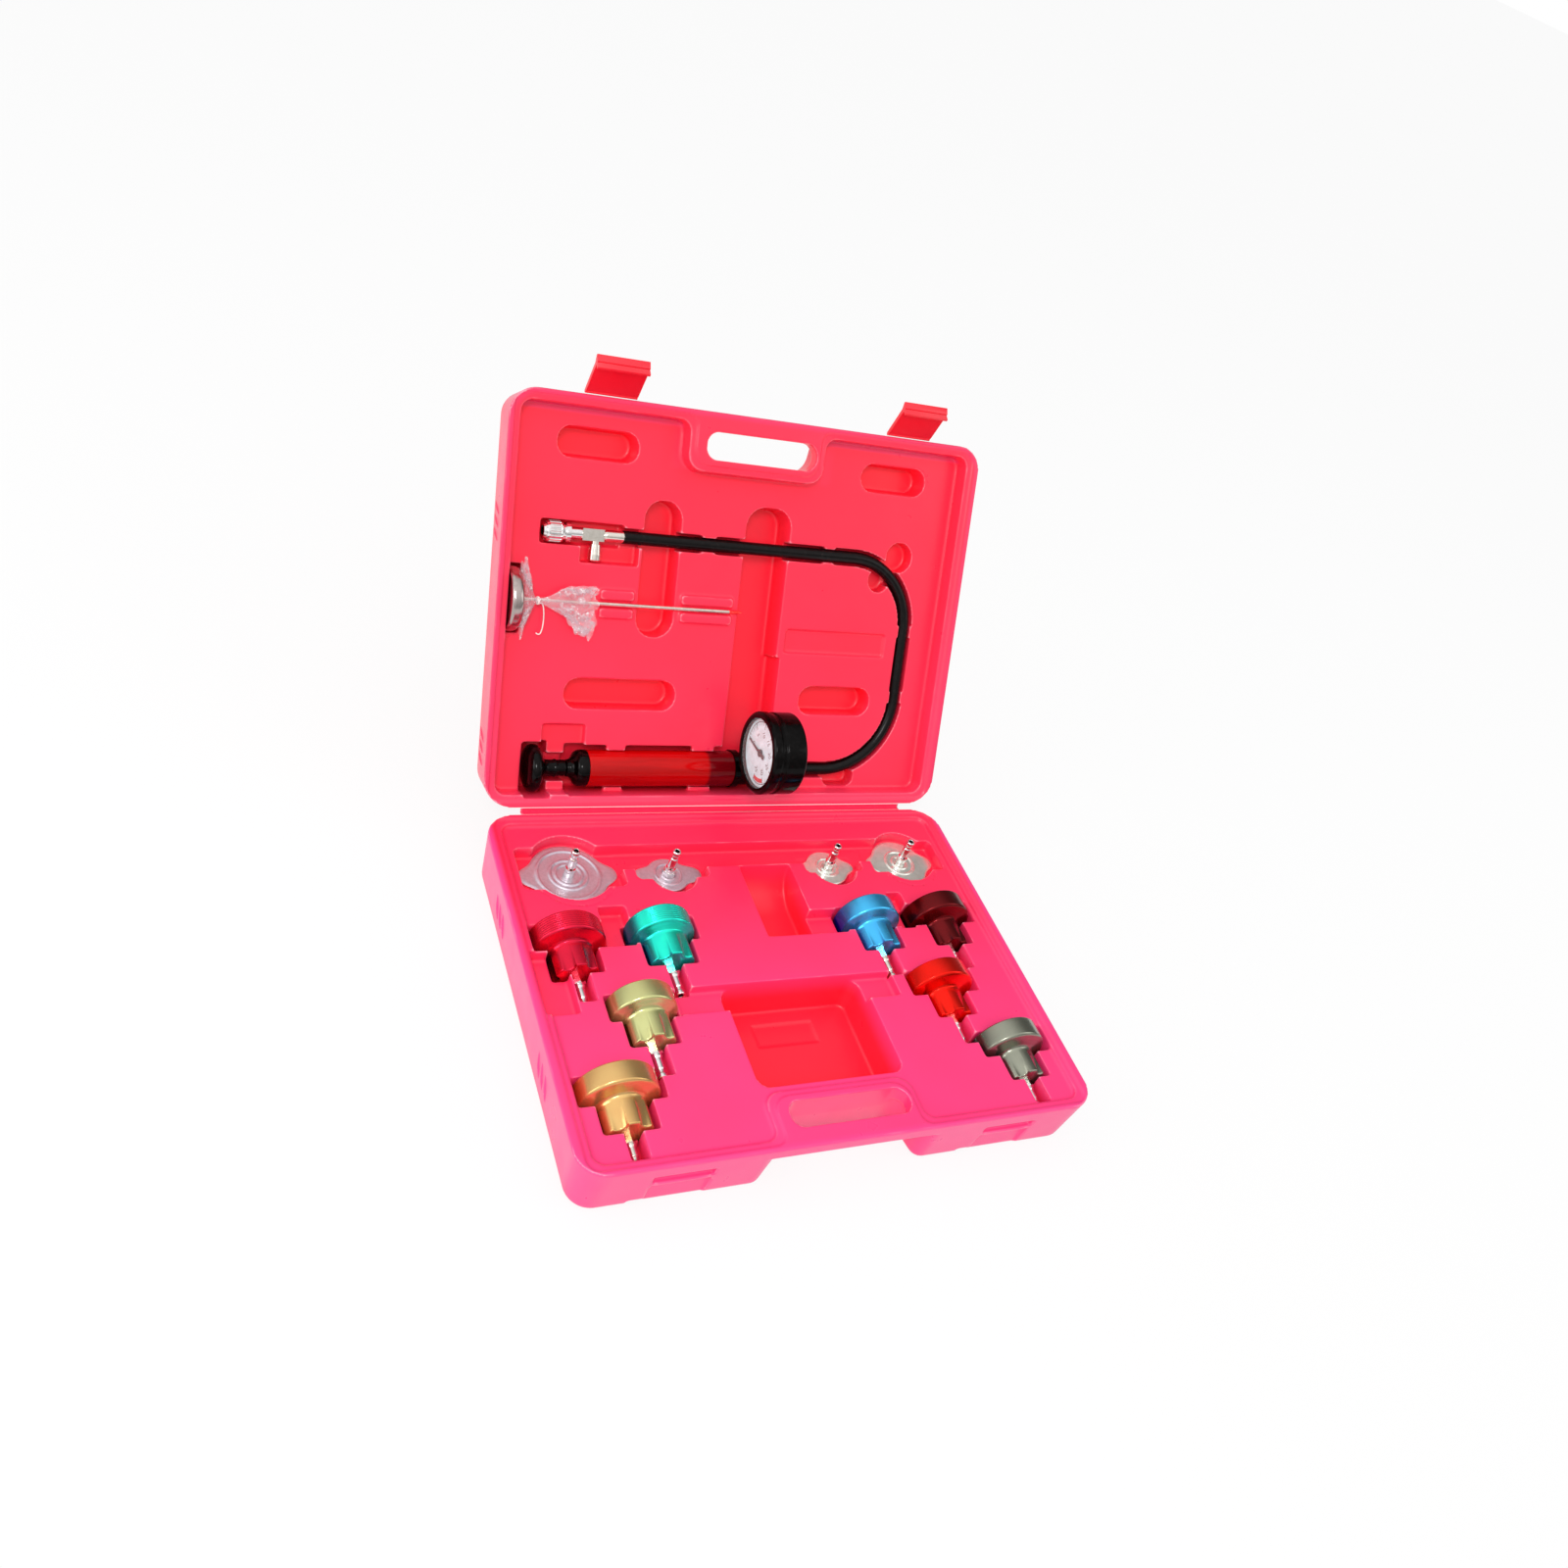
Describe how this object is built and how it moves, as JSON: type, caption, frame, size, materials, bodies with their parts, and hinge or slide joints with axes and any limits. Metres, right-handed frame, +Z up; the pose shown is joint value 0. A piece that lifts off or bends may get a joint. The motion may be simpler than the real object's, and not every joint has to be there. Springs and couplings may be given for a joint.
{
  "type": "radiator pressure tester kit",
  "caption": "Open red case with anodised radiator neck adapters, bayonet test caps, a hand pump with gauge and hose, and a dial thermometer.",
  "frame": {"origin": "middle of the base half's flat underside, on the surface it stands on", "axes": "+X along the hinge towards the right as the open case is faced, +Y from the handle side to the hinge, +Z up"},
  "size_m": [0.385, 0.475, 0.3369],
  "materials": {
    "case": "satin blow-moulded",
    "case_lid": "satin blow-moulded",
    "chrome": "polished plate",
    "steel": "dull zinc",
    "bright_steel": "polished pressed steel",
    "rubber": "matt black",
    "gauge_boot": "satin black boot",
    "black_plastic": "glossy black",
    "barrel": "tinted clear",
    "dial": "printed white",
    "lens": "clear",
    "needle": "black",
    "brass": "nickelled",
    "sheath": "red",
    "pouch": "thin clear film",
    "crimson_anodised": "satin anodised",
    "teal_anodised": "satin anodised",
    "olive_anodised": "satin anodised",
    "gold_anodised": "satin anodised",
    "blue_anodised": "satin anodised",
    "maroon_anodised": "satin anodised",
    "orange_anodised": "satin anodised",
    "gunmetal_anodised": "satin anodised"
  },
  "bodies": {
    "base": {"case_base": "case", "hinge_web": "case"},
    "lid": {"case_lid": "case_lid"},
    "latch_left": {"latch_left": "case"},
    "latch_right": {"latch_right": "case"},
    "tester": {"pump_barrel": "barrel", "pump_end_cap": "black_plastic", "hose": "rubber", "release_tee": "chrome", "coupler_body": "chrome"},
    "plunger": {"pump_knob": "black_plastic", "pump_rod": "steel", "pump_piston": "rubber"},
    "gauge_head": {"pump_head": "gauge_boot", "gauge_case": "gauge_boot", "gauge_dial": "dial", "gauge_lens": "lens"},
    "gauge_needle": {"gauge_needle": "needle"},
    "coupler_sleeve": {"coupler_sleeve": "chrome"},
    "release_button": {"release_button": "chrome"},
    "thermometer": {"thermometer_head": "bright_steel", "thermometer_stem": "chrome", "thermometer_sheath": "sheath", "thermometer_pouch": "pouch"},
    "crimson_adapter": {"crimson_adapter": "crimson_anodised", "crimson_nipple": "chrome", "crimson_seal": "rubber"},
    "teal_adapter": {"teal_adapter": "teal_anodised", "teal_nipple": "chrome", "teal_seal": "rubber"},
    "olive_adapter": {"olive_adapter": "olive_anodised", "olive_nipple": "chrome", "olive_seal": "rubber"},
    "gold_adapter": {"gold_adapter": "gold_anodised", "gold_nipple": "brass", "gold_seal": "rubber"},
    "blue_adapter": {"blue_adapter": "blue_anodised", "blue_nipple": "brass", "blue_seal": "rubber"},
    "maroon_adapter": {"maroon_adapter": "maroon_anodised", "maroon_nipple": "chrome", "maroon_seal": "rubber"},
    "orange_adapter": {"orange_adapter": "orange_anodised", "orange_nipple": "chrome", "orange_seal": "steel"},
    "gunmetal_adapter": {"gunmetal_adapter": "gunmetal_anodised", "gunmetal_nipple": "chrome", "gunmetal_seal": "rubber"},
    "wide_cap": {"wide_cap": "steel", "wide_cap_nipple": "chrome", "wide_cap_seal": "rubber"},
    "hex_cap": {"hex_cap": "steel", "hex_cap_nipple": "brass", "hex_cap_seal": "rubber"},
    "small_cap": {"small_cap": "bright_steel", "small_cap_nipple": "chrome", "small_cap_seal": "rubber"},
    "large_cap": {"large_cap": "bright_steel", "large_cap_nipple": "chrome", "large_cap_seal": "rubber"}
  },
  "joints": [
    {"name": "lid_hinge", "type": "hinge", "parent": "base", "child": "lid", "pos_m": [0, 0.15035, 0.046], "axis": [-1, 0, 0], "range_deg": [-119.4, 60.6], "deforming": ["hinge_web"]},
    {"name": "latch_left_hinge", "type": "hinge", "parent": "lid", "child": "latch_left", "pos_m": [-0.1215, 0.29878, 0.30637], "axis": [-1, 0, 0], "range_deg": [-45, 100]},
    {"name": "latch_right_hinge", "type": "hinge", "parent": "lid", "child": "latch_right", "pos_m": [0.123, 0.29878, 0.30637], "axis": [-1, 0, 0], "range_deg": [-45, 100]},
    {"name": "tester_lift", "type": "slide", "parent": "lid", "child": "tester", "axis": [0, -0.8712, 0.4909], "range_m": [0, 0.2]},
    {"name": "plunger_slide", "type": "slide", "parent": "tester", "child": "plunger", "axis": [-1, 0, 0], "range_m": [0, 0.03]},
    {"name": "gauge_roll", "type": "hinge", "parent": "tester", "child": "gauge_head", "pos_m": [-0.1, 0.18036, 0.06157], "axis": [1, 0, 0], "range_deg": [-50.7, 25.8]},
    {"name": "needle_turn", "type": "hinge", "parent": "gauge_head", "child": "gauge_needle", "pos_m": [0.0024, 0.14409, 0.11223], "axis": [1, 0, 0], "range_deg": [0, 270], "stiffness_Nm_per_rad": 0.0001},
    {"name": "sleeve_slide", "type": "slide", "parent": "tester", "child": "coupler_sleeve", "axis": [1, 0, 0], "range_m": [0, 0.002], "stiffness_N_per_m": 800, "springref_m": -0.001},
    {"name": "button_push", "type": "slide", "parent": "tester", "child": "release_button", "axis": [0, 0.4909, 0.8712], "range_m": [0, 0.0025], "stiffness_N_per_m": 800, "springref_m": -0.001},
    {"name": "thermometer_lift", "type": "slide", "parent": "lid", "child": "thermometer", "axis": [0, -0.8712, 0.4909], "range_m": [0, 0.12]},
    {"name": "crimson_adapter_lift", "type": "slide", "parent": "base", "child": "crimson_adapter", "axis": [0, 0, 1], "range_m": [0, 0.06]},
    {"name": "teal_adapter_lift", "type": "slide", "parent": "base", "child": "teal_adapter", "axis": [0, 0, 1], "range_m": [0, 0.06]},
    {"name": "olive_adapter_lift", "type": "slide", "parent": "base", "child": "olive_adapter", "axis": [0, 0, 1], "range_m": [0, 0.06]},
    {"name": "gold_adapter_lift", "type": "slide", "parent": "base", "child": "gold_adapter", "axis": [0, 0, 1], "range_m": [0, 0.06]},
    {"name": "blue_adapter_lift", "type": "slide", "parent": "base", "child": "blue_adapter", "axis": [0, 0, 1], "range_m": [0, 0.06]},
    {"name": "maroon_adapter_lift", "type": "slide", "parent": "base", "child": "maroon_adapter", "axis": [0, 0, 1], "range_m": [0, 0.06]},
    {"name": "orange_adapter_lift", "type": "slide", "parent": "base", "child": "orange_adapter", "axis": [0, 0, 1], "range_m": [0, 0.06]},
    {"name": "gunmetal_adapter_lift", "type": "slide", "parent": "base", "child": "gunmetal_adapter", "axis": [0, 0, 1], "range_m": [0, 0.06]},
    {"name": "wide_cap_lift", "type": "slide", "parent": "base", "child": "wide_cap", "axis": [0, 0, 1], "range_m": [0, 0.06]},
    {"name": "hex_cap_lift", "type": "slide", "parent": "base", "child": "hex_cap", "axis": [0, 0, 1], "range_m": [0, 0.06]},
    {"name": "small_cap_lift", "type": "slide", "parent": "base", "child": "small_cap", "axis": [0, 0, 1], "range_m": [0, 0.06]},
    {"name": "large_cap_lift", "type": "slide", "parent": "base", "child": "large_cap", "axis": [0, 0, 1], "range_m": [0, 0.06]}
  ],
  "couplings": [
    {"joint": "plunger_slide", "follows": "tester_lift", "ratio": 0.15},
    {"joint": "gauge_roll", "follows": "lid_hinge", "ratio": 0.4238}
  ]
}
